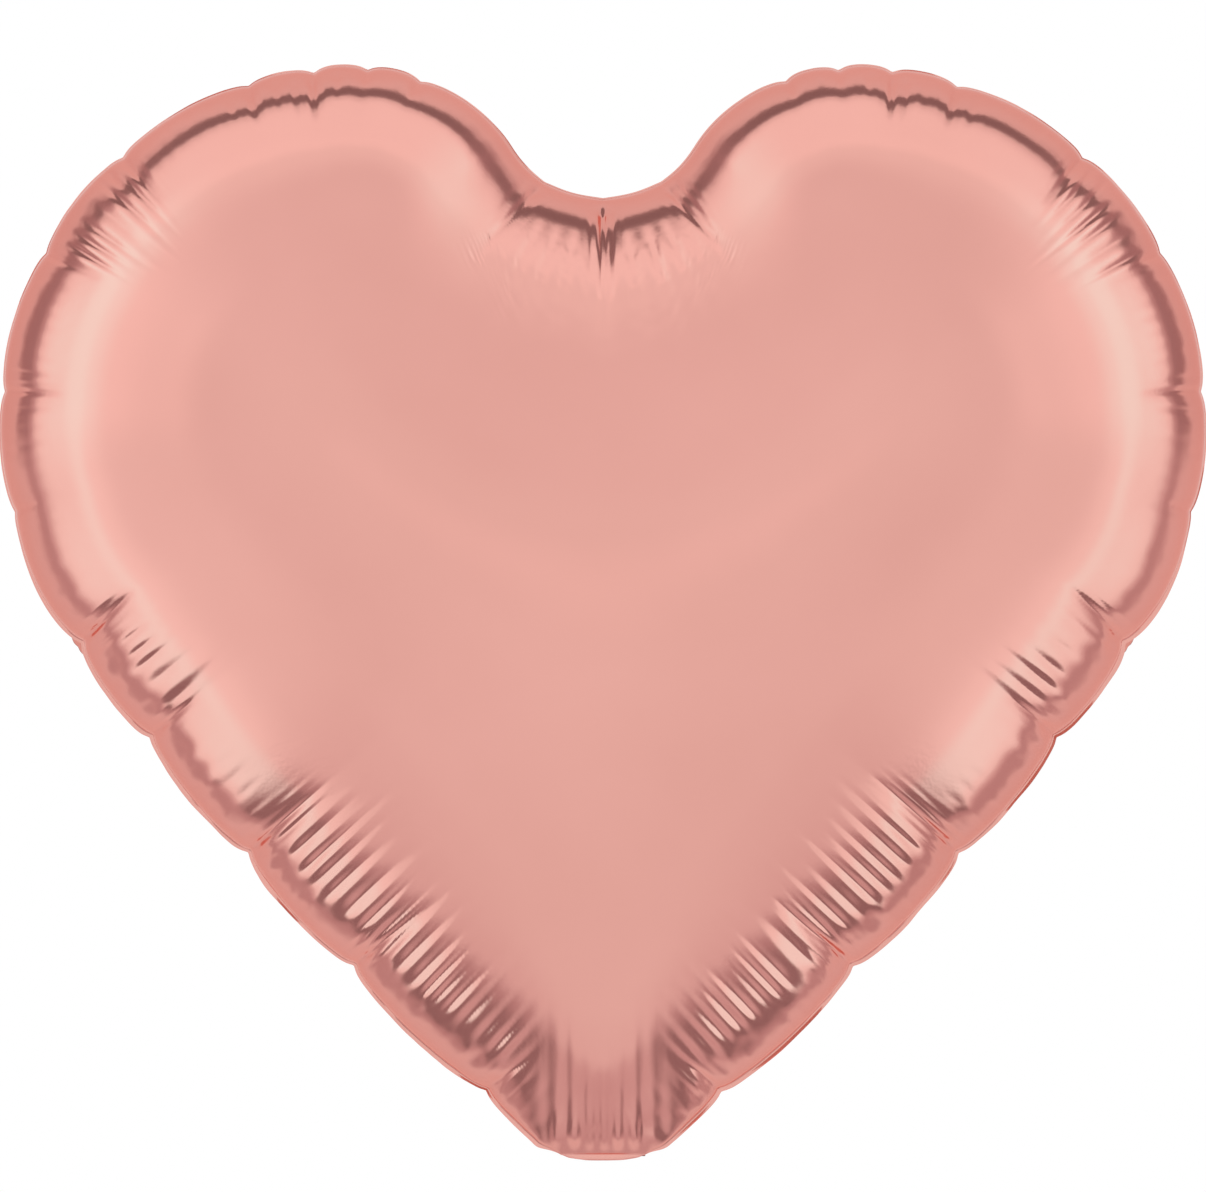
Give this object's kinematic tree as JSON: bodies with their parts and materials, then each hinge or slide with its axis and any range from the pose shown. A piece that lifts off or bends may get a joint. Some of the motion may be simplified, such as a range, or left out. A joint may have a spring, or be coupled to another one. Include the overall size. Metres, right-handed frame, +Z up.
{
  "type": "heart-shaped foil balloon",
  "caption": "Inflated heart-shaped foil balloon: two metallised panels sealed at the edge, a self-sealing valve and a folded inflation tail.",
  "frame": {"origin": "middle of the neck fold, where the heart's tip turns into the inflation tail and a ribbon would be tied", "axes": "+Z up through the heart's axis of symmetry, front of the balloon towards -Y, +X to the viewer's right, seam in the plane Y = 0"},
  "size_m": [0.38, 0.1904, 0.3448],
  "materials": {
    "foil": "satin metallic rose gold foil",
    "valve_film": "translucent milky film"
  },
  "bodies": {
    "balloon": {"front_panel": "foil", "rear_panel": "foil", "valve_front_film": "valve_film", "valve_rear_film": "valve_film"},
    "tail": {"tail_front": "foil", "tail_rear": "foil", "valve_front_mouth": "valve_film", "valve_rear_mouth": "valve_film"}
  },
  "joints": [
    {"name": "tail_fold", "type": "hinge", "parent": "balloon", "child": "tail", "pos_m": [0, 0, 0], "axis": [-1, 0, 0], "range_deg": [0, 240]}
  ]
}
